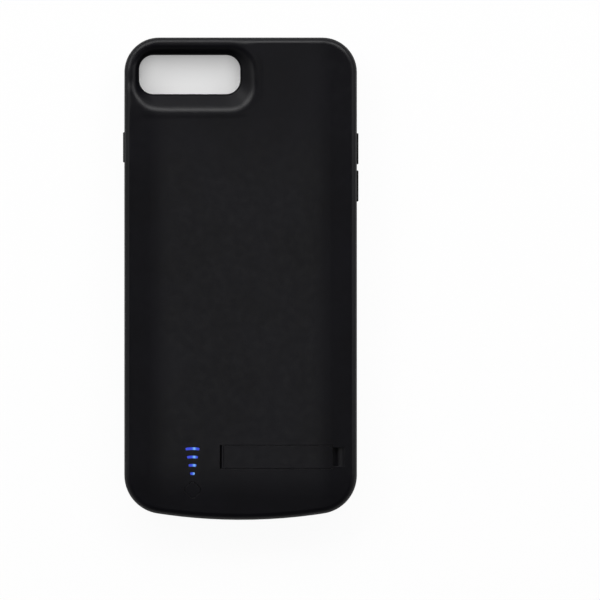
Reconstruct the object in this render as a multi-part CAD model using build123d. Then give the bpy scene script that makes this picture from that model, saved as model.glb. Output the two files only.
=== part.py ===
"""Battery charging case for a large phone.

A crowned rear shell and a soft phone frame, with a cell, a board, a phone plug, keys and a kickstand.
Millimetres. X runs to the right as seen from behind, Y towards the camera end, and Z up from the
front lip to the crowned back. The origin is under the middle of the case.
"""
import math
import os

from build123d import *

# Case outline
case_width = 81.0
case_height = 168.0
case_thickness = 15.6
top_corner_radius = 12.0
bottom_corner_radius = 13.5
bottom_arc_radius = 188.0

# Crowned back: level in the middle, sloping at the sides, the camera end and the chin
back_edge_radius = 2.5
shoulder_width = 15.5
shoulder_bend = 6.5
shoulder_angle = 6.0
camera_slope_length = 46.0
camera_slope_bend = 18.0
camera_slope_angle = 2.5
chin_slope_length = 20.5
chin_slope_bend = 12.0
chin_slope_angle = 5.2
crown_margin = 8.0

# Walls
back_wall = 1.2
skirt_wall = 1.8
ledge_width = 1.0
side_wall = 1.3
top_wall = 1.6
chin_depth = 7.6
bay_end_wall = 1.0
seam_height = 8.0
seam_chamfer = 0.25
lip_thickness = 1.0
lip_overhang = 0.6
lip_chamfer = 0.8

# Inner tray
tray_setback = 0.6
tray_thickness = 1.0
tray_clearance = 0.1
tab_width = 2.4
tab_depth = 1.0
tab_height = 1.4
tab_side_margin = 7.5
tab_board_margin = 3.5

# Camera window and the sloping recess round it
window_width = 35.25
window_height = 13.65
window_radius = 5.0
window_side_margin = 5.1
window_top_margin = 6.0
window_wall = 1.4
window_draft = 0.5
recess_run_left = 2.9
recess_run_right = 5.9
recess_run_bottom = 6.55
recess_run_top = 4.0
recess_corner_radius = 9.0
recess_edge_radius = 2.2
recess_wall = 1.5

# Kickstand
leg_button_gap = 9.7
leg_width = 7.9
leg_thickness = 2.6
leg_side_margin = 8.5
leg_foot_margin = 22.0
leg_corner_radius = 0.8
pin_radius = 0.5
pin_bore_clearance = 0.05
pin_seat_clearance = 0.01
leg_gap = 0.18
heel_gap = 0.2
pocket_floor_gap = 0.2
pocket_floor = 1.0
pocket_wall = 1.6
pin_end_wall = 0.4
scoop_radius = 6.0
scoop_width = 6.5

# Power button
button_side_margin = 23.8
button_foot_margin = 10.5
button_side = 4.6
button_corner_radius = 1.2
button_gap = 0.16
button_flange = 0.7
button_flange_thickness = 0.6
button_flange_gap = 0.2
plunger_side = 1.5
plunger_clearance = 0.08
plunger_depth = 0.45
switch_side = 4.0
switch_height = 0.9

# Charge lamps, counted outwards from the power button
lamp_count = 4
lamp_first_radius = 5.7
lamp_pitch = 2.9
lamp_first_length = 1.7
lamp_length_step = 1.08
lamp_thickness = 1.0
lamp_gap = 0.05
carrier_width = 7.2
carrier_margin = 1.6
carrier_gap = 0.2
carrier_thickness = 0.7
lamp_chip_size = (1.6, 0.8, 0.6)

# Keys in the frame
key_height = 3.0
key_proud = 0.6
key_gap = 0.12
key_shoulder = 0.4
key_flange = 0.4
key_flange_reach = 0.9
key_flange_clearance = 0.05
key_edge_radius = 0.3
key_notch_length = 0.7
key_notch_depth = 0.3
side_key_length = 10.5
side_key_top_margin = 38.1
volume_key_length = 10.8
volume_up_top_margin = 38.6
volume_key_pitch = 13.0
mute_top_margin = 23.55
mute_length = 8.0
mute_height = 5.0
mute_chamfer = 0.6

# Phone plug
plug_width = 6.7
plug_thickness = 1.5
plug_reach = 6.6
plug_edge_radius = 0.7
plug_tip_chamfer = 0.3
plug_contact_count = 8
plug_contact_pitch = 0.72
plug_contact_width = 0.42
plug_contact_length = 2.8
plug_contact_inset = 0.9
plug_contact_thickness = 0.05
nose_width = 9.6
nose_height = 3.4
nose_gap = 0.05
base_width = 13.0
base_height = 4.6
base_depth = 2.2
plug_board_thickness = 0.5
plug_board_left = -11.8
flex_width = 3.0
flex_thickness = 0.15
flex_bend = 0.5
flex_landing = 2.3
chin_pocket_width = 25.0
chin_pocket_floor = 2.2
chin_outer_wall = 1.7

# Sound slots in the chin
sound_slot_length = 11.0
sound_slot_height = 2.2
sound_slot_x = 20.5

# Charge socket
socket_width = 7.5
socket_height = 2.5
socket_depth = 5.2
socket_wall = 0.3
socket_setback = 0.7
socket_z = 9.95
socket_corner_radius = 0.6
socket_flank = 1.1
socket_gap = 0.1
tongue_width = 3.9
tongue_thickness = 0.7
tongue_base = 1.2
tongue_length = 3.2

# Board and its parts
board_thickness = 0.8
board_inset = 3.4
board_depth = 31.0
board_notch_gap = 0.25
chip_height = 0.9
chip_foot_margin = 11.0
power_chip_side = 5.0
power_chip_side_margin = 24.0
charge_chip_side = 4.0
charge_chip_side_margin = 16.5
inductor_side = 4.5
inductor_height = 1.9
inductor_side_margin = 31.0
capacitor_size = (1.6, 0.8, 0.8)
capacitor_count = 4
capacitor_pitch = 3.0
capacitor_side_margin = 17.5
capacitor_foot_margin = 6.8

# Cell
cell_width = 60.0
cell_foot_margin = 37.0
cell_head_margin = 32.0
cell_headroom = 0.85
cell_corner_radius = 1.5
tape_thickness = 0.15
tape_inset = 2.5
strip_width = 30.0
strip_depth = 4.2
strip_height = 1.9
lead_width = 2.0
lead_thickness = 0.2
lead_pitch = 6.0
lead_overlap = 2.2

# Values that follow from the sizes above
half_width = case_width / 2
top_edge = case_height / 2
bottom_edge = -case_height / 2
bay_half = half_width - side_wall
bay_top = top_edge - top_wall
bay_bottom = bottom_edge + chin_depth
bay_corner_radius = top_corner_radius - side_wall
tray_bottom = seam_height + tray_setback
tray_top = tray_bottom + tray_thickness
tray_end = bay_bottom - bay_end_wall
phone_middle = (lip_thickness + tray_bottom) / 2
cavity_inset = skirt_wall + ledge_width

shoulder_start = half_width - shoulder_width
camera_slope_start = top_edge - camera_slope_length
chin_slope_start = bottom_edge + chin_slope_length


def spine_height(y):
    """Height of the back's middle line from the level part down to the chin."""
    angle = math.radians(chin_slope_angle)
    radius = chin_slope_bend / math.sin(angle)
    run = max(0.0, chin_slope_start - y)
    bent = min(run, chin_slope_bend)
    bend_drop = radius - math.sqrt(radius**2 - bent**2)
    return case_thickness - bend_drop - (run - bent) * math.tan(angle)


window_x = -half_width + window_side_margin + window_width / 2
window_y = top_edge - window_top_margin - window_height / 2
recess_left = window_x - window_width / 2 - recess_run_left
recess_right = window_x + window_width / 2 + recess_run_right
recess_bottom = window_y - window_height / 2 - recess_run_bottom
recess_top = window_y + window_height / 2 + recess_run_top

button_x = -half_width + button_side_margin
button_y = bottom_edge + button_foot_margin
leg_start = button_x + leg_button_gap
leg_end = half_width - leg_side_margin
leg_y = bottom_edge + leg_foot_margin
leg_bottom = spine_height(leg_y) - leg_thickness
heel_radius = leg_thickness / 2
pin_x = leg_start + heel_radius
pin_z = leg_bottom + heel_radius
pocket_half = leg_width / 2 + leg_gap
pin_reach = pocket_half + pocket_wall - pin_end_wall

button_flange_reach = button_side / math.sqrt(2) + button_flange
button_flange_top = spine_height(button_y - button_flange_reach) - back_wall - button_flange_gap
button_flange_bottom = button_flange_top - button_flange_thickness
lamp_radii = [lamp_first_radius + lamp_pitch * step for step in range(lamp_count)]
lamp_lengths = [lamp_first_length + lamp_length_step * step for step in range(lamp_count)]
carrier_foot = button_y + lamp_radii[0] - carrier_margin
carrier_head = button_y + lamp_radii[-1] + carrier_margin
carrier_top = spine_height(carrier_foot) - back_wall - carrier_gap
carrier_bottom = carrier_top - carrier_thickness

side_key_y = top_edge - side_key_top_margin
volume_up_y = top_edge - volume_up_top_margin
volume_down_y = volume_up_y - volume_key_pitch
mute_y = top_edge - mute_top_margin

plug_base_back = tray_end - base_depth
plug_board_back = plug_base_back - plug_board_thickness
socket_mouth = bottom_edge + socket_setback
socket_back = socket_mouth + socket_depth

board_top = tray_top + board_thickness
board_head = bottom_edge + board_depth
tab_x = half_width - tab_side_margin
tab_y = board_head - tab_board_margin
chip_y = bottom_edge + chip_foot_margin
cell_foot = bottom_edge + cell_foot_margin
cell_head = top_edge - cell_head_margin
cell_bottom = tray_top + tape_thickness
cell_top = case_thickness - back_wall - cell_headroom


def block(x, y, z):
    """Box between two bounds on each axis."""
    middle = Pos((x[0] + x[1]) / 2, (y[0] + y[1]) / 2, (z[0] + z[1]) / 2)
    return middle * Box(x[1] - x[0], y[1] - y[0], z[1] - z[0])


def about(middle, size):
    """Two bounds of one size about a middle."""
    return middle - size / 2, middle + size / 2


def prism(sketch, bottom, top):
    """Sketch in the XY plane, raised from one height to another."""
    return Pos(0, 0, bottom) * extrude(sketch, amount=top - bottom, dir=(0, 0, 1))


def end_plane(y, z):
    """Plane across the case, seen from its foot, with X to the right and Z up."""
    return Plane(origin=(0, y, z), x_dir=(1, 0, 0), z_dir=(0, -1, 0))


def y_rod(radius, x, z, bottom, top):
    """Round rod along Y."""
    return Pos(x, (bottom + top) / 2, z) * Rot(90, 0, 0) * Cylinder(radius, top - bottom)


def case_outline(inset=0.0):
    """Plan of the case: straight sides and top, one wide arc at the bottom, rounded corners."""
    half = half_width - inset
    top = top_edge - inset
    radius = bottom_arc_radius - inset
    centre_y = bottom_edge + bottom_arc_radius
    low = centre_y - math.sqrt(radius**2 - half**2)
    sides = Polyline((-half, low), (-half, top), (half, top), (half, low))
    chin = ThreePointArc((half, low), (0, centre_y - radius), (-half, low))
    plan = make_face(sides + chin)
    plan = fillet(plan.vertices().group_by(Axis.Y)[-1], top_corner_radius - inset)
    foot = [v for v in plan.vertices() if abs(v.Y - low) < 0.001 and abs(abs(v.X) - half) < 0.001]
    return fillet(foot, bottom_corner_radius - inset)


def bay_outline(inset=0.0):
    """Plan of the phone bay."""
    width = 2 * (bay_half - inset)
    length = bay_top - bay_bottom - 2 * inset
    plan = RectangleRounded(width, length, bay_corner_radius - inset)
    return Pos(0, (bay_top + bay_bottom) / 2) * plan


def crown_section(lowered):
    """Section across the back: level middle, a bend to each side and a sloping shoulder."""
    angle = math.radians(shoulder_angle)
    bend_radius = shoulder_bend / math.sin(angle) - lowered
    bend = JernArc((shoulder_start, -lowered), (1, 0), bend_radius, -shoulder_angle)
    bend_end = bend @ 1
    side = half_width + crown_margin
    side_top = bend_end.Y - (side - bend_end.X) * math.tan(angle)
    flank = Polyline(bend_end, (side, side_top), (side, -case_thickness))
    right = bend + flank
    left = mirror(right, about=Plane.YZ)
    middle = Line((-shoulder_start, -lowered), (shoulder_start, -lowered))
    bottom = Line((-side, -case_thickness), (side, -case_thickness))
    return make_face(Curve() + [right, left, middle, bottom])


def end_slope(section, start, toward, length, bend, angle):
    """The section led from one place along Y through a bend and on down a straight slope."""
    radius = bend / math.sin(math.radians(angle))
    axis = Axis((0, start, case_thickness - radius), (1, 0, 0))
    section = end_plane(start, case_thickness) * section
    tilted = section.rotate(axis, -toward * angle)
    run = Vector(0, toward, 0).rotate(Axis.X, -toward * angle)
    return revolve(section, axis, -toward * angle) + extrude(tilted, length - bend + crown_margin, run)


def crown_body(lowered=0.0):
    """Everything under the back: one section led along a level run and down a slope at each end."""
    section = crown_section(lowered)
    start = end_plane(camera_slope_start, case_thickness) * section
    level = extrude(start, amount=camera_slope_start - chin_slope_start, dir=(0, -1, 0))
    camera_end = end_slope(
        section, camera_slope_start, 1, camera_slope_length, camera_slope_bend, camera_slope_angle
    )
    chin_end = end_slope(section, chin_slope_start, -1, chin_slope_length, chin_slope_bend, chin_slope_angle)
    return level + camera_end + chin_end


crown = crown_body()


def camera_recess():
    """Recess from the back down to the camera window: sloping sides, then a steep throat."""
    mouth = RectangleRounded(recess_right - recess_left, recess_top - recess_bottom, recess_corner_radius)
    middle = Pos((recess_left + recess_right) / 2, (recess_bottom + recess_top) / 2, case_thickness)
    throat = Pos(0, 0, tray_top + window_wall) * offset(window_outline(), amount=window_draft)
    return loft([throat, middle * mouth]) + loft([Pos(0, 0, tray_top) * window_outline(), throat])


def window_outline():
    """Plan of the camera window."""
    return Pos(window_x, window_y) * RectangleRounded(window_width, window_height, window_radius)


def button_outline(grown=0.0):
    """Rounded diamond of the power button."""
    side = button_side + 2 * grown
    square = RectangleRounded(side, side, button_corner_radius + grown)
    return Pos(button_x, button_y) * Rot(0, 0, 45) * square


def lamp_outline(radius, length, grown=0.0):
    """One arched charge lamp, centred on the power button."""
    reach = math.degrees((length / 2 + grown) / radius)
    arc = CenterArc((button_x, button_y), radius, 90 - reach, 2 * reach)
    return trace(arc, lamp_thickness + 2 * grown)


def rim_edges(body):
    """Edges where the upright walls of a body meet its crowned top."""
    walls = [face for face in body.faces() if abs(face.normal_at().Z) < 0.01]
    edges = [edge for wall in walls for edge in wall.edges()]
    high = [edge for edge in edges if min((edge @ 0).Z, (edge @ 1).Z) > tray_top]
    return [edge for edge in high if abs((edge % 0.5).Z) < 0.9]


def recess_edges(shell, recess):
    """Edges round the mouth of the camera recess."""
    low = tray_top + window_wall + recess_edge_radius / 2
    high = [edge for edge in shell.edges() if min((edge @ 0).Z, (edge @ 1).Z) > low]
    return [edge for edge in high if max(recess.distance_to(edge @ t) for t in (0, 0.5, 1)) < 0.001]


def make_rear_shell():
    outer = prism(case_outline(), seam_height, case_thickness + 1) & crown
    outer = fillet(rim_edges(outer), back_edge_radius)
    outer = chamfer(outer.edges().group_by(Axis.Z)[0], seam_chamfer)
    recess = camera_recess()
    shell = outer - recess
    shell = fillet(recess_edges(shell, recess), recess_edge_radius)

    seat = prism(case_outline(skirt_wall), seam_height - 1, tray_top)
    cavity = prism(case_outline(cavity_inset), tray_top, case_thickness) & crown_body(back_wall)
    camera_block = block(
        (-half_width, recess_right + recess_wall),
        (recess_bottom - recess_wall, top_edge),
        (0, case_thickness),
    )
    pocket_bottom = leg_bottom - pocket_floor_gap
    pocket_block = block(
        (leg_start - heel_gap - pocket_wall, half_width),
        about(leg_y, 2 * (pocket_half + pocket_wall)),
        (pocket_bottom - pocket_floor, case_thickness),
    )
    shell = shell - seat - (cavity - camera_block - pocket_block)

    pocket = block(
        (leg_start - heel_gap, leg_end + leg_gap),
        about(leg_y, 2 * pocket_half),
        (pocket_bottom, case_thickness + 1),
    )
    scoop = y_rod(scoop_radius, leg_end, leg_bottom + scoop_radius, *about(leg_y, scoop_width))
    pin_seat = y_rod(pin_radius + pin_seat_clearance, pin_x, pin_z, *about(leg_y, 2 * pin_reach))
    shell = shell - pocket - scoop - pin_seat

    shell -= prism(button_outline(button_gap), board_top, case_thickness + 1)
    for radius, length in zip(lamp_radii, lamp_lengths):
        shell -= prism(lamp_outline(radius, length, lamp_gap), carrier_bottom, case_thickness + 1)
    return shell - socket_prism(socket_gap, bottom_edge - 1, socket_back)


def key_slot(side, middle, length):
    """Space for one key in the side wall, with a pocket for its flange and a notch at each end."""
    span = length + 2 * key_gap
    height = key_height + 2 * key_gap
    slot = block((bay_half - 1, half_width + 1), about(middle, span), about(phone_middle, height))
    slot += block(
        (bay_half - 1, half_width - key_shoulder),
        about(middle, span),
        about(phone_middle, height + 2 * key_flange_reach + 2 * key_gap),
    )
    slot += block(
        (half_width - key_notch_depth, half_width + 1),
        about(middle, span + 2 * key_notch_length),
        about(phone_middle, height),
    )
    return slot if side > 0 else mirror(slot, about=Plane.YZ)


def make_soft_frame():
    ring = prism(case_outline(), 0, seam_height)
    ring = chamfer(ring.edges().group_by(Axis.Z)[0], lip_chamfer)
    ring = chamfer(ring.edges().group_by(Axis.Z)[-1], seam_chamfer)
    step = prism(case_outline(skirt_wall + tray_clearance), seam_height, tray_bottom)
    ring += step & block((-half_width, half_width), (bottom_edge, bay_bottom), (0, case_thickness))
    ring -= prism(bay_outline(), lip_thickness, case_thickness)
    ring -= prism(bay_outline(lip_overhang), -1, lip_thickness)

    ring -= key_slot(-1, side_key_y, side_key_length)
    ring -= key_slot(1, volume_up_y, volume_key_length)
    ring -= key_slot(1, volume_down_y, volume_key_length)
    side_plane = Plane(origin=(half_width, mute_y, phone_middle), x_dir=(0, 1, 0), z_dir=(1, 0, 0))
    mute = SlotOverall(mute_length, mute_height)
    mute_wide = SlotOverall(mute_length + 2 * mute_chamfer, mute_height + 2 * mute_chamfer)
    ring -= extrude(side_plane * mute, amount=side_wall + lip_overhang, both=True)
    ring -= loft([side_plane.offset(-mute_chamfer) * mute, side_plane * mute_wide])

    ring -= block(
        about(0, chin_pocket_width),
        (bottom_edge + chin_outer_wall, tray_end),
        (chin_pocket_floor, tray_top),
    )
    ring -= block(
        about(0, nose_width + 2 * nose_gap),
        (tray_end - 1, bay_bottom + 1),
        about(phone_middle, nose_height + 2 * nose_gap),
    )
    for side in (-1, 1):
        slot = Pos(side * sound_slot_x, 0) * SlotOverall(sound_slot_length, sound_slot_height)
        ring -= extrude(end_plane(bottom_edge, phone_middle) * slot, amount=chin_depth + 1, both=True)
    return ring


def make_inner_tray():
    plan = case_outline(skirt_wall + tray_clearance)
    plan &= Pos(0, tray_end + case_height / 2) * Rectangle(case_width, case_height)
    tray = prism(plan - window_outline(), tray_bottom, tray_top)
    for x in (-tab_x, tab_x):
        tray += block(about(x, tab_width), about(tab_y, tab_depth), (tray_top, tray_top + tab_height))
    return tray


def make_kickstand_leg():
    """Bar with a round heel about the pin, trimmed to the back."""
    length = leg_end - pin_x
    height = case_thickness - leg_bottom
    heel = Pos(pin_x, pin_z) * Circle(heel_radius)
    bar = Pos(pin_x + length / 2, leg_bottom + height / 2) * Rectangle(length, height)
    leg = extrude(end_plane(leg_y + leg_width / 2, 0) * (heel + bar), amount=leg_width, dir=(0, -1, 0))
    leg = fillet(leg.edges().filter_by(Axis.Z).sort_by(Axis.X)[-2:], leg_corner_radius)
    bore = y_rod(pin_radius + pin_bore_clearance, pin_x, pin_z, *about(leg_y, 2 * leg_width))
    return (leg & crown) - bore


def make_kickstand_pin():
    return y_rod(pin_radius, pin_x, pin_z, *about(leg_y, 2 * pin_reach))


def make_power_button():
    stem = prism(button_outline(), button_flange_top, case_thickness + 1) & crown
    return stem + prism(button_outline(button_flange), button_flange_bottom, button_flange_top)


def make_light_pipe():
    carrier = block(
        about(button_x, carrier_width), (carrier_foot, carrier_head), (carrier_bottom, carrier_top)
    )
    bars = [
        prism(lamp_outline(radius, length), carrier_top, case_thickness + 1) & crown
        for radius, length in zip(lamp_radii, lamp_lengths)
    ]
    return carrier + bars


def make_lamp_chips():
    long, wide, high = lamp_chip_size
    middle = Pos(button_x, button_y, board_top + high / 2)
    return Compound(children=[middle * Pos(0, radius, 0) * Box(long, wide, high) for radius in lamp_radii])


def make_key(side, middle, length):
    flange_face = half_width - key_shoulder - key_flange_clearance
    back = flange_face - key_flange
    cap = block((back, half_width + key_proud), about(middle, length), about(phone_middle, key_height))
    cap = fillet(cap.faces().sort_by(Axis.X)[-1].edges(), key_edge_radius)
    flange_height = key_height + 2 * key_flange_reach
    key = cap + block((back, flange_face), about(middle, length), about(phone_middle, flange_height))
    return key if side > 0 else mirror(key, about=Plane.YZ)


def socket_outline(grown):
    """Front view of the charge socket, wider towards the back of the case."""
    half = socket_width / 2
    high = socket_height / 2
    points = [
        (-half, high),
        (-half, high - socket_flank),
        (-half + socket_flank, -high),
        (half - socket_flank, -high),
        (half, high - socket_flank),
        (half, high),
    ]
    front = make_face(Polyline(*points, close=True))
    front = fillet(front.vertices(), socket_corner_radius)
    return offset(front, amount=grown) if grown else front


def socket_prism(grown, mouth, back):
    """Charge socket shape between two places along Y."""
    plane = end_plane(mouth, socket_z)
    return extrude(plane * socket_outline(grown), amount=back - mouth, dir=(0, 1, 0))


def make_charge_socket():
    inside = socket_prism(-socket_wall, socket_mouth - 1, socket_back)
    return socket_prism(0, socket_mouth, socket_back) - inside


def make_socket_tongue():
    base_front = socket_back - tongue_base
    base = socket_prism(-socket_wall, base_front, socket_back)
    return base + block(
        about(0, tongue_width), (base_front - tongue_length, base_front), about(socket_z, tongue_thickness)
    )


def make_main_board():
    plan = case_outline(board_inset)
    plan &= Pos(0, board_head - case_height / 2) * Rectangle(case_width, case_height)
    notch = socket_width + 2 * board_notch_gap
    plan -= Pos(0, socket_back + board_notch_gap - socket_depth) * Rectangle(notch, 2 * socket_depth)
    for x in (-tab_x, tab_x):
        plan -= Pos(x, tab_y) * Rectangle(tab_width + 2 * tray_clearance, tab_depth + 2 * tray_clearance)
    return prism(plan, tray_top, board_top)


def on_board(x, y, side, height):
    """Square part on the board."""
    return block(about(x, side), about(y, side), (board_top, board_top + height))


def make_boost_inductor():
    body = on_board(half_width - inductor_side_margin, chip_y, inductor_side, inductor_height)
    return chamfer(body.edges().filter_by(Axis.Z), inductor_side / 6)


def make_board_capacitors():
    long, wide, high = capacitor_size
    last_x = half_width - capacitor_side_margin
    middle = Pos(last_x, bottom_edge + capacitor_foot_margin, board_top + high / 2)
    row = [Pos(-capacitor_pitch * step, 0, 0) for step in range(capacitor_count)]
    return Compound(children=[middle * place * Box(wide, long, high) for place in row])


def make_switch_body():
    hole = on_board(button_x, button_y, plunger_side + 2 * plunger_clearance, switch_height)
    return on_board(button_x, button_y, switch_side, switch_height) - hole


def make_switch_plunger():
    bottom = board_top + switch_height - plunger_depth
    return block(
        about(button_x, plunger_side), about(button_y, plunger_side), (bottom, button_flange_bottom)
    )


def plug_tab(reach):
    """Flat tab of the phone plug, from the back of the bay's end wall to one reach into the bay."""
    front = RectangleRounded(plug_width, plug_thickness, plug_edge_radius)
    return extrude(end_plane(tray_end, phone_middle) * front, amount=bay_end_wall + reach, dir=(0, 1, 0))


def make_phone_plug():
    tab = plug_tab(plug_reach)
    return chamfer(tab.faces().sort_by(Axis.Y)[-1].edges(), plug_tip_chamfer)


def make_plug_contacts():
    tip = bay_bottom + plug_reach - plug_contact_inset
    face = plug_thickness / 2
    pads = []
    for step in range(plug_contact_count):
        x = (step - (plug_contact_count - 1) / 2) * plug_contact_pitch
        across = about(x, plug_contact_width)
        for side in (-1, 1):
            middle = phone_middle + side * (face + plug_contact_thickness / 2)
            along = (tip - plug_contact_length, tip)
            pads.append(block(across, along, about(middle, plug_contact_thickness)))
    return Compound(children=pads)


def make_plug_base():
    base = block(about(0, base_width), (plug_base_back, tray_end), about(phone_middle, base_height))
    nose = block(about(0, nose_width), (tray_end, bay_bottom), about(phone_middle, nose_height))
    return base + nose - plug_tab(1)


def make_plug_board():
    return block(
        (plug_board_left, base_width / 2),
        (plug_board_back, plug_base_back),
        about(phone_middle, base_height),
    )


def make_plug_flex():
    """Ribbon from the back of the plug board up to the underside of the main board."""
    line_y = plug_board_back - flex_thickness / 2
    line_z = tray_top - flex_thickness / 2
    start = (line_y, phone_middle - base_height / 4)
    path = FilletPolyline(start, (line_y, line_z), (line_y + flex_landing, line_z), radius=flex_bend)
    plane = Plane(origin=(plug_board_left, 0, 0), x_dir=(0, 1, 0), z_dir=(1, 0, 0))
    return extrude(plane * trace(path, flex_thickness), amount=flex_width, dir=(1, 0, 0))


def make_battery_cell():
    cell = block(about(0, cell_width), (cell_foot, cell_head), (cell_bottom, cell_top))
    return fillet(cell.edges().filter_by(Axis.Z), cell_corner_radius)


def make_battery_tape():
    width = cell_width - 2 * tape_inset
    return block(about(0, width), (cell_foot + tape_inset, cell_head - tape_inset), (tray_top, cell_bottom))


def make_protection_strip():
    along = (cell_foot - strip_depth, cell_foot)
    return block(about(0, strip_width), along, (tray_top, tray_top + strip_height))


def make_battery_leads():
    along = (board_head - lead_overlap, cell_foot - strip_depth)
    height = (board_top, board_top + lead_thickness)
    return Compound(children=[block(about(x, lead_width), along, height) for x in about(0, lead_pitch)])


nodes = {
    "rear_shell": make_rear_shell(),
    "soft_frame": make_soft_frame(),
    "inner_tray": make_inner_tray(),
    "kickstand_leg": make_kickstand_leg(),
    "kickstand_pin": make_kickstand_pin(),
    "power_button": make_power_button(),
    "light_pipe": make_light_pipe(),
    "lamp_chips": make_lamp_chips(),
    "side_key": make_key(-1, side_key_y, side_key_length),
    "volume_up_key": make_key(1, volume_up_y, volume_key_length),
    "volume_down_key": make_key(1, volume_down_y, volume_key_length),
    "charge_socket": make_charge_socket(),
    "socket_tongue": make_socket_tongue(),
    "main_board": make_main_board(),
    "power_chip": on_board(half_width - power_chip_side_margin, chip_y, power_chip_side, chip_height),
    "charge_chip": on_board(half_width - charge_chip_side_margin, chip_y, charge_chip_side, chip_height),
    "boost_inductor": make_boost_inductor(),
    "board_capacitors": make_board_capacitors(),
    "switch_body": make_switch_body(),
    "switch_plunger": make_switch_plunger(),
    "phone_plug": make_phone_plug(),
    "plug_contacts": make_plug_contacts(),
    "plug_base": make_plug_base(),
    "plug_board": make_plug_board(),
    "plug_flex": make_plug_flex(),
    "battery_cell": make_battery_cell(),
    "battery_tape": make_battery_tape(),
    "protection_strip": make_protection_strip(),
    "battery_leads": make_battery_leads(),
}

os.makedirs("parts", exist_ok=True)
for name, shape in nodes.items():
    export_step(shape, f"parts/{name}.step")
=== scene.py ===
"""Battery charging case: finishes, light and camera.

Metres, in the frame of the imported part: X to the right as seen from behind, Y towards the camera
end of the case, Z up from the front lip, on which the case lies, to the crowned back.
"""
import math

import bpy
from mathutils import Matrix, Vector


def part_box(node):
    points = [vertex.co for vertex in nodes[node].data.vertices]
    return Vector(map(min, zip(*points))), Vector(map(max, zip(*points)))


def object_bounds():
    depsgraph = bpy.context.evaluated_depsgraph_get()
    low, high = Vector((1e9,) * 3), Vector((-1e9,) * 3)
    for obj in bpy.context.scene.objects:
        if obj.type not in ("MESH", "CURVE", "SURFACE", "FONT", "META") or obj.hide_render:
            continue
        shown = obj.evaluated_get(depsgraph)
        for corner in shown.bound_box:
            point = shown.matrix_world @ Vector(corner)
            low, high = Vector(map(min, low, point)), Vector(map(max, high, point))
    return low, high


MM = 0.001

# Factor that leaves out the height of a place
LEVEL = (1, 1, 0)

# Photograph: its frame in pixels, and the case's middle and scale in it
photo_frame = 600
case_middle_px = (240.6, 278.7)
photo_px_per_metre = 2872.0

# Camera: how far it is above the case's outline, which lies a little below the top of the back
camera_distance = 2.5
camera_reach = 20.0
outline_depth = 3.0 * MM
sensor_width = 36.0

# Charge lamps: arcs round the power button, each longer than the one before, with rounded ends
lamp_first_radius = 5.7 * MM
lamp_pitch = 2.9 * MM
lamp_half_length = 0.85 * MM
lamp_growth = 0.54 * MM
lamp_half_thickness = 0.5 * MM

# Their light: dimmer from the core to the edge, and by its distance from the chip
lamp_core = 0.75
lamp_strength = 0.9
lamp_roughness = 0.35
lamp_chip_offset = 0.6 * MM
lamp_chip_reach = 1.1 * MM
lamp_light = ((0.0, (124, 184, 250)), (0.45, (62, 114, 236)), (1.0, (44, 66, 212)))
lamp_body = {"dark": (16, 20, 60), "light": (24, 28, 80)}
lamp_grain = 0.6 * MM

# Camera recess: the rounded box of its mouth, and where its lip has the wider rounding
recess_middle = (-16.3 * MM, 69.9 * MM)
recess_half = (22.0 * MM, 12.1 * MM)
recess_corner = 9 * MM
lip_round = 3.4 * MM
lip_full_within = 1 * MM
lip_none_beyond = 5 * MM
lip_none_below = 11 * MM
lip_full_above = 12.5 * MM

# Finishes: sRGB colours, roughness from smooth to dull, and the size and depth of the grain.
# Specular, edge radius and lip are the plastics' own.
plastics = {
    "shell_black": {
        "dark": (9, 8.5, 12), "light": (12, 11.5, 16), "rough": (0.28, 0.34),
        "grain": 0.25 * MM, "depth": 0.01 * MM, "specular": 0.18, "edge": 0.12 * MM, "lip": True,
    },
    "frame_black": {
        "dark": (12, 12, 13), "light": (16, 16, 17), "rough": (0.5, 0.62),
        "grain": 0.35 * MM, "depth": 0.015 * MM, "specular": 0.2, "edge": 0.2 * MM,
    },
    "tray_black": {
        "dark": (20, 20, 21), "light": (25, 25, 26), "rough": (0.55, 0.7),
        "grain": 0.45 * MM, "depth": 0.03 * MM, "specular": 0.3,
    },
    "key_black": {
        "dark": (8, 8, 9), "light": (11, 11, 12), "rough": (0.3, 0.4),
        "grain": 0.5 * MM, "depth": 0.006 * MM, "specular": 0.25, "edge": 0.08 * MM,
    },
}
metals = {
    "bright_steel": {
        "dark": (150, 150, 152), "light": (196, 196, 198), "rough": (0.22, 0.36),
        "grain": 0.3 * MM, "stretch": (1, 0.1, 1),
    },
    "dark_steel": {
        "dark": (40, 40, 43), "light": (58, 58, 61), "rough": (0.35, 0.5),
        "grain": 0.2 * MM, "stretch": (0.1, 1, 1),
    },
    "contact_gold": {
        "dark": (196, 150, 66), "light": (228, 184, 96), "rough": (0.2, 0.32),
        "grain": 0.2 * MM,
    },
    "cell_silver": {
        "dark": (150, 152, 156), "light": (178, 180, 184), "rough": (0.35, 0.5),
        "grain": 1.5 * MM,
    },
}
plain_parts = {
    "chip_black": {
        "dark": (22, 22, 24), "light": (32, 32, 34), "rough": (0.55, 0.7),
        "grain": 0.3 * MM, "depth": 0.01 * MM,
    },
    "ferrite_grey": {
        "dark": (58, 58, 60), "light": (80, 80, 82), "rough": (0.6, 0.8),
        "grain": 0.25 * MM, "depth": 0.02 * MM,
    },
    "tape_amber": {
        "dark": (196, 132, 32), "light": (216, 152, 48), "rough": (0.2, 0.35),
        "grain": 1.2 * MM, "depth": 0.01 * MM,
    },
    "plug_white": {
        "dark": (206, 206, 204), "light": (222, 222, 220), "rough": (0.4, 0.52),
        "grain": 0.5 * MM, "depth": 0.01 * MM,
    },
}

# Plastics' clouding, gloss and edges, metals' streaks, and the ranges of noise that a look spans
cloud_grain = 18 * MM
gloss_grain = 2.5 * MM
edge_samples = 16
streak_depth = 0.01 * MM
streak_strength = 0.4
wide_range = (0.3, 0.7)
narrow_range = (0.35, 0.65)

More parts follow.
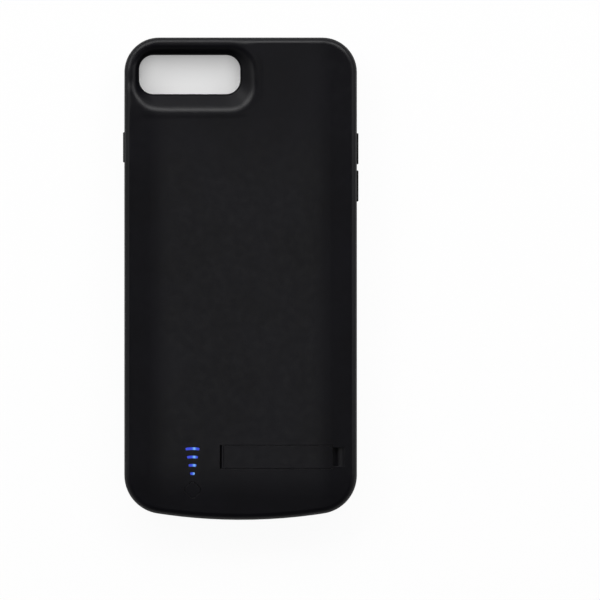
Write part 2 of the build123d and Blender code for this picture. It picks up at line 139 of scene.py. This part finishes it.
# Circuit board
board_grid = 4 * MM
board_run = 0.03
board_relief = 0.02 * MM
board_roughness = 0.3
board_colours = {"Color1": (16, 74, 46), "Color2": (20, 84, 52), "Mortar": (38, 122, 74)}

# Floor: white to look at, and in mirrors painted shade close to the case: less white, and a dark paint
# tone in contact
floor_size = 6.0
floor_drop = 0.05 * MM
floor_shadow = 0.05
floor_tone = 0.95
floor_painted_contact_tone = 0.1
floor_painted_contact_reach = 22 * MM
floor_painted_shade_reach = 80 * MM

# Under the case: its outline's corner, how far the white goes in, and a painted pool of light on the
# floor seen through the window
case_corner = 14 * MM
case_cover = 3 * MM
window_middle = (-17.8 * MM, 71.2 * MM)
window_patch = (26 * MM, 15 * MM)
window_painted_light = 0.6

# Surroundings: a soft dome, and in mirrors white that is darker overhead and near the horizon
dome_strength = 0.15
dark_direction = Vector((0, -0.35, 1)).normalized()
dark_strength = 0.08
dark_core = math.radians(15)
dark_reach = math.radians(85)
horizon_strength = 0.5
horizon_top = 0.5

# Soft boxes: one overhead, and some on an arc round the camera end, as power by bearing in degrees
key_lamp = {"place": (0.0, 0.0, 3.4), "size": 0.8, "power": 3.8}
ring_lamp_powers = {10: 2.0, 55: 7.8, 95: 8.6, 135: 9.0, 172: 1.5}
ring_lamp_distance = 1.2
ring_lamp_height = 0.95
ring_lamp_size = 0.7

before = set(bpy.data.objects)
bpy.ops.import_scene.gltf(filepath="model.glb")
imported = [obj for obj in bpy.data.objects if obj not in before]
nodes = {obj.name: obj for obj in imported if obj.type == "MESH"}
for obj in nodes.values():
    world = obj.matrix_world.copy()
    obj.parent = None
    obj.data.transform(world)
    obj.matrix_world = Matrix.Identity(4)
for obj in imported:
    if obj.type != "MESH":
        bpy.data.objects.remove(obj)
cad_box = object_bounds()


def linear(r, g, b):
    """Linear colour of an sRGB one from 0 to 255."""
    def channel(value):
        value /= 255
        return value / 12.92 if value <= 0.04045 else ((value + 0.055) / 1.055) ** 2.4
    return channel(r), channel(g), channel(b), 1.0


def feed(tree, socket, value):
    """Sets a socket to a number or a vector, or links it to an output."""
    if isinstance(value, bpy.types.NodeSocket):
        tree.links.new(value, socket)
    else:
        socket.default_value = value


def maths(tree, operation, *values):
    """Output of a Math node on outputs or numbers."""
    node = tree.nodes.new("ShaderNodeMath")
    node.operation = operation
    for socket, value in zip(node.inputs, values):
        feed(tree, socket, value)
    return node.outputs["Value"]


def vector_maths(tree, operation, *values):
    """Output of a Vector Math node on outputs or vectors."""
    node = tree.nodes.new("ShaderNodeVectorMath")
    node.operation = operation
    for socket, value in zip(node.inputs, values):
        feed(tree, socket, value)
    return node.outputs["Value" if operation in ("LENGTH", "DOT_PRODUCT") else "Vector"]


def component(tree, vector, axis):
    """One component of a vector."""
    split = tree.nodes.new("ShaderNodeSeparateXYZ")
    tree.links.new(vector, split.inputs["Vector"])
    return split.outputs[axis]


def fade(tree, value, start, end):
    """0 at the start of a range, 1 at its end, and smooth between them."""
    spread = tree.nodes.new("ShaderNodeMapRange")
    spread.interpolation_type = "SMOOTHSTEP"
    spread.inputs["From Min"].default_value = start
    spread.inputs["From Max"].default_value = end
    tree.links.new(value, spread.inputs["Value"])
    return spread.outputs["Result"]


def beyond_box(tree, middle, half, radius):
    """How far a place lies beyond a box with rounded corners, as seen from above."""
    place = tree.nodes.new("ShaderNodeTexCoord").outputs["Object"]
    place = vector_maths(tree, "MULTIPLY", place, LEVEL)
    place = vector_maths(tree, "SUBTRACT", place, (*middle, 0))
    place = vector_maths(tree, "ABSOLUTE", place)
    place = vector_maths(tree, "SUBTRACT", place, (half[0] - radius, half[1] - radius, 0))
    place = vector_maths(tree, "MAXIMUM", place, (0, 0, 0))
    return maths(tree, "SUBTRACT", vector_maths(tree, "LENGTH", place), radius)


def blend(tree, share, first, second):
    """Two shaders, mixed by the share of the second one."""
    mix = tree.nodes.new("ShaderNodeMixShader")
    tree.links.new(share, mix.inputs["Fac"])
    tree.links.new(first, mix.inputs[1])
    tree.links.new(second, mix.inputs[2])
    return mix.outputs["Shader"]


def light_path(tree):
    """Whether a ray comes from the camera, and whether it comes from a mirror or glass."""
    path = tree.nodes.new("ShaderNodeLightPath")
    mirrored = maths(tree, "MAXIMUM", path.outputs["Is Glossy Ray"], path.outputs["Is Transmission Ray"])
    return path.outputs["Is Camera Ray"], mirrored


class Finish:
    """A procedural material: one Principled shader and the textures that feed it."""

    def __init__(self, name, **constants):
        self.material = bpy.data.materials.new(name)
        self.material.use_nodes = True
        self.tree = self.material.node_tree
        self.shader = self.tree.nodes["Principled BSDF"]
        for socket, value in constants.items():
            self.shader.inputs[socket.replace("_", " ")].default_value = value
        self.place = self.tree.nodes.new("ShaderNodeTexCoord").outputs["Object"]

    def node(self, kind, **inputs):
        """A new node, with numbers for some of its inputs."""
        made = self.tree.nodes.new(kind)
        for socket, value in inputs.items():
            made.inputs[socket.replace("_", " ")].default_value = value
        return made

    def link(self, source, target):
        """Joins an output to an input."""
        self.tree.links.new(source, target)

    def noise(self, grain, detail=3.0, stretch=(1, 1, 1)):
        """Noise whose lumps are about one grain long, in metres."""
        mapping = self.node("ShaderNodeMapping", Scale=stretch)
        self.link(self.place, mapping.inputs["Vector"])
        texture = self.node("ShaderNodeTexNoise", Scale=1 / grain, Detail=detail)
        self.link(mapping.outputs["Vector"], texture.inputs["Vector"])
        return texture.outputs["Fac"]

    def ramp(self, factor, *stops):
        """Colours along a factor, as pairs of a place and an sRGB colour."""
        ramp = self.node("ShaderNodeValToRGB")
        elements = ramp.color_ramp.elements
        while len(elements) < len(stops):
            elements.new(0.5)
        for element, (place, colour) in zip(elements, stops):
            element.position = place
            element.color = linear(*colour)
        self.link(factor, ramp.inputs["Fac"])
        return ramp.outputs["Color"]

    def colour(self, factor, span, dark, light):
        """Base colour that goes from dark to light over a span of the factor."""
        self.link(self.ramp(factor, (span[0], dark), (span[1], light)), self.shader.inputs["Base Color"])

    def roughness(self, factor, low, high):
        """Roughness that goes from low to high over the wide range of the factor."""
        spread = self.node(
            "ShaderNodeMapRange", From_Min=wide_range[0], From_Max=wide_range[1], To_Min=low, To_Max=high
        )
        self.link(factor, spread.inputs["Value"])
        self.link(spread.outputs["Result"], self.shader.inputs["Roughness"])

    def bump(self, height, depth, strength=1.0, edge=None):
        """Relief of a depth in metres, over edges rounded by a radius, which may differ by place."""
        bump = self.node("ShaderNodeBump", Strength=strength, Distance=depth)
        self.link(height, bump.inputs["Height"])
        if edge is not None:
            bevel = self.node("ShaderNodeBevel")
            bevel.samples = edge_samples
            feed(self.tree, bevel.inputs["Radius"], edge)
            self.link(bevel.outputs["Normal"], bump.inputs["Normal"])
        self.link(bump.outputs["Normal"], self.shader.inputs["Normal"])


def lip_rounding(finish, edge):
    """Radius of the shell's edges: wide on the lip of the camera recess."""
    tree = finish.tree
    past_mouth = beyond_box(tree, recess_middle, recess_half, recess_corner)
    near = fade(tree, past_mouth, lip_none_beyond, lip_full_within)
    high = fade(tree, component(tree, finish.place, "Z"), lip_none_below, lip_full_above)
    on_lip = maths(tree, "MULTIPLY", near, high)
    return maths(tree, "MULTIPLY_ADD", on_lip, lip_round, edge)


def black_plastic(name, dark, light, rough, grain, depth, specular, edge=None, lip=False):
    """Moulded black plastic: fine spark texture, faint clouding and uneven gloss."""
    finish = Finish(name, Specular_IOR_Level=specular)
    finish.colour(finish.noise(cloud_grain, detail=4.0), narrow_range, dark, light)
    finish.roughness(finish.noise(gloss_grain, detail=5.0), *rough)
    if lip:
        edge = lip_rounding(finish, edge)
    finish.bump(finish.noise(grain, detail=2.0), depth, edge=edge)
    return finish.material


def metal(name, dark, light, rough, grain, stretch=(1, 1, 1)):
    """Drawn or plated metal with fine streaks."""
    finish = Finish(name, Metallic=1.0)
    streak = finish.noise(grain, detail=4.0, stretch=stretch)
    finish.colour(streak, wide_range, dark, light)
    finish.roughness(streak, *rough)
    finish.bump(streak, streak_depth, strength=streak_strength)
    return finish.material


def plain_part(name, dark, light, rough, grain, depth):
    """Plain coloured part with a mottled surface."""
    finish = Finish(name)
    mottle = finish.noise(grain, detail=4.0)
    finish.colour(mottle, narrow_range, dark, light)
    finish.roughness(mottle, *rough)
    finish.bump(mottle, depth)
    return finish.material


def lamp_blue():
    """Lit charge bars: paler over the chip, dimmer towards the rounded edges."""
    finish = Finish("lamp_blue", Roughness=lamp_roughness, Emission_Strength=lamp_strength)
    tree = finish.tree
    low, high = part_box("power_button")
    centre = [(a + b) / 2 for a, b in zip(low, high)]
    from_button = vector_maths(tree, "SUBTRACT", finish.place, centre)
    level = vector_maths(tree, "MULTIPLY", from_button, LEVEL)
    past_first = maths(tree, "SUBTRACT", vector_maths(tree, "LENGTH", level), lamp_first_radius)
    sideways = component(tree, level, "X")

    first_straight = lamp_half_length - lamp_half_thickness
    straight = maths(tree, "MULTIPLY_ADD", past_first, lamp_growth / lamp_pitch, first_straight)
    past_end = maths(tree, "SUBTRACT", maths(tree, "ABSOLUTE", sideways), straight)
    off_bar = finish.node("ShaderNodeCombineXYZ")
    finish.link(maths(tree, "MAXIMUM", past_end, 0), off_bar.inputs["X"])
    finish.link(maths(tree, "PINGPONG", past_first, lamp_pitch / 2), off_bar.inputs["Y"])
    from_core = vector_maths(tree, "LENGTH", off_bar.outputs["Vector"])
    lit = fade(tree, from_core, lamp_half_thickness, lamp_half_thickness * lamp_core)

    from_chip = maths(tree, "ABSOLUTE", maths(tree, "SUBTRACT", sideways, lamp_chip_offset))
    glow = finish.ramp(fade(tree, from_chip, 0, lamp_chip_reach), *lamp_light)
    glow = vector_maths(tree, "MULTIPLY", glow, lit)
    finish.link(glow, finish.shader.inputs["Emission Color"])
    finish.colour(finish.noise(lamp_grain), wide_range, **lamp_body)
    return finish.material


def board_green():
    """Solder mask over a fine grid of copper runs."""
    finish = Finish("board_green", Roughness=board_roughness)
    colours = {socket: linear(*colour) for socket, colour in board_colours.items()}
    brick = finish.node(
        "ShaderNodeTexBrick", Scale=1 / board_grid, Mortar_Size=board_run, **colours
    )
    finish.link(finish.place, brick.inputs["Vector"])
    finish.link(brick.outputs["Color"], finish.shader.inputs["Base Color"])
    finish.bump(brick.outputs["Fac"], board_relief)
    return finish.material


def finishes():
    """One material for each slot of the record."""
    made = {"lamp_blue": lamp_blue(), "board_green": board_green()}
    for make, looks in ((black_plastic, plastics), (metal, metals), (plain_part, plain_parts)):
        for name, look in looks.items():
            made[name] = make(name, **look)
    return made


def dress(made):
    """Gives each node the finish of the slot that it was packed with."""
    for node in nodes.values():
        for slot in node.material_slots:
            slot.material = made[slot.material.name.split(".")[0]]


def floor_white(tree):
    """Share of plain white on the floor, and the tone of its paint.

    The camera sees white beside the case and a painted pool of light in the window.
    In mirrors the white and the tone both fall off close to the case, as painted shade.
    """
    camera, mirrored = light_path(tree)
    beside_case = beyond_box(tree, (0, 0), cad_box[1], case_corner)
    # Painted light: a pool of white on the floor under the camera window, where the case shades it
    past_window = beyond_box(tree, window_middle, window_patch, window_patch[1])
    painted_window_light = fade(tree, past_window, 0, -window_patch[1])
    painted_window_light = maths(tree, "MULTIPLY", painted_window_light, window_painted_light)
    in_open = maths(tree, "GREATER_THAN", beside_case, -case_cover)
    for_camera = maths(tree, "MULTIPLY", camera, maths(tree, "MAXIMUM", in_open, painted_window_light))
    # Painted shade: in mirrors the white fades out close to the case, and the paint turns dark in
    # contact with it
    for_mirrors = maths(tree, "MULTIPLY", mirrored, fade(tree, beside_case, 0, floor_painted_shade_reach))
    share = maths(tree, "MAXIMUM", for_camera, for_mirrors)
    painted_contact_shade = maths(tree, "MULTIPLY", mirrored, fade(tree, beside_case, floor_painted_contact_reach, 0))
    tone = maths(tree, "MULTIPLY_ADD", painted_contact_shade, floor_painted_contact_tone - floor_tone, floor_tone)
    return share, tone


def make_floor():
    """White floor that keeps a faint shadow, with painted shade close to the case in mirrors and a
    painted pool of light in the window.
    """
    bpy.ops.mesh.primitive_plane_add(size=floor_size, location=(0, 0, -floor_drop))
    floor = bpy.context.object
    floor.name = "floor"
    material = bpy.data.materials.new("floor_white")
    material.use_nodes = True
    tree = material.node_tree
    tree.nodes.remove(tree.nodes["Principled BSDF"])
    share, tone = floor_white(tree)
    share = maths(tree, "MULTIPLY", share, 1 - floor_shadow)
    paint = tree.nodes.new("ShaderNodeBsdfDiffuse")
    tree.links.new(tone, paint.inputs["Color"])
    white = tree.nodes.new("ShaderNodeEmission")
    white.inputs["Strength"].default_value = 1.0
    surface = blend(tree, share, paint.outputs["BSDF"], white.outputs["Emission"])
    tree.links.new(surface, tree.nodes["Material Output"].inputs["Surface"])
    floor.data.materials.append(material)


def make_world():
    """White to look at, a soft grey dome as light, and in mirrors darker overhead and low down."""
    world = bpy.data.worlds.new("studio")
    bpy.context.scene.world = world
    world.use_nodes = True
    tree = world.node_tree
    dome = tree.nodes["Background"]
    dome.inputs["Color"].default_value = (1, 1, 1, 1)
    dome.inputs["Strength"].default_value = dome_strength
    white = tree.nodes.new("ShaderNodeBackground")
    white.inputs["Color"].default_value = (1, 1, 1, 1)
    direction = tree.nodes.new("ShaderNodeTexCoord").outputs["Generated"]
    camera, mirrored = light_path(tree)
    towards_dark = vector_maths(tree, "DOT_PRODUCT", direction, dark_direction)
    off_dark = fade(tree, towards_dark, math.cos(dark_core), math.cos(dark_reach))
    height = vector_maths(tree, "DOT_PRODUCT", direction, (0, 0, 1))
    lift = maths(tree, "MAXIMUM", fade(tree, height, 0, horizon_top), horizon_strength)
    in_mirrors = maths(tree, "MAXIMUM", maths(tree, "MULTIPLY", off_dark, lift), dark_strength)
    tree.links.new(maths(tree, "MAXIMUM", camera, in_mirrors), white.inputs["Strength"])
    seen = maths(tree, "MAXIMUM", camera, mirrored)
    surface = blend(tree, seen, dome.outputs["Background"], white.outputs["Background"])
    tree.links.new(surface, tree.nodes["World Output"].inputs["Surface"])


def make_lamp(name, place, size, power):
    """Square soft box that faces the case."""
    data = bpy.data.lights.new(name, "AREA")
    data.size = size
    data.energy = power
    lamp = bpy.data.objects.new(name, data)
    lamp.location = place
    lamp.rotation_euler = (-Vector(place)).to_track_quat("-Z", "Y").to_euler()
    bpy.context.scene.collection.objects.link(lamp)


def make_ring_lamps():
    """Soft boxes on an arc round the camera end of the case."""
    for bearing, power in ring_lamp_powers.items():
        turn = math.radians(bearing)
        place = (
            ring_lamp_distance * math.cos(turn),
            ring_lamp_distance * math.sin(turn),
            ring_lamp_height,
        )
        make_lamp("ring_lamp_%d" % bearing, place, ring_lamp_size, power)


def make_camera():
    """Straight down, with the case where the photograph has it."""
    data = bpy.data.cameras.new("camera")
    data.sensor_width = sensor_width
    data.lens = sensor_width * camera_distance * photo_px_per_metre / photo_frame
    data.clip_end = camera_reach
    camera = bpy.data.objects.new("camera", data)
    middle = photo_frame / 2
    camera.location = (
        (middle - case_middle_px[0]) / photo_px_per_metre,
        (case_middle_px[1] - middle) / photo_px_per_metre,
        cad_box[1][2] - outline_depth + camera_distance,
    )
    bpy.context.scene.collection.objects.link(camera)
    bpy.context.scene.camera = camera


dress(finishes())
make_floor()
make_world()
make_lamp("key_lamp", **key_lamp)
make_ring_lamps()
make_camera()
bpy.context.scene.view_settings.view_transform = "Standard"
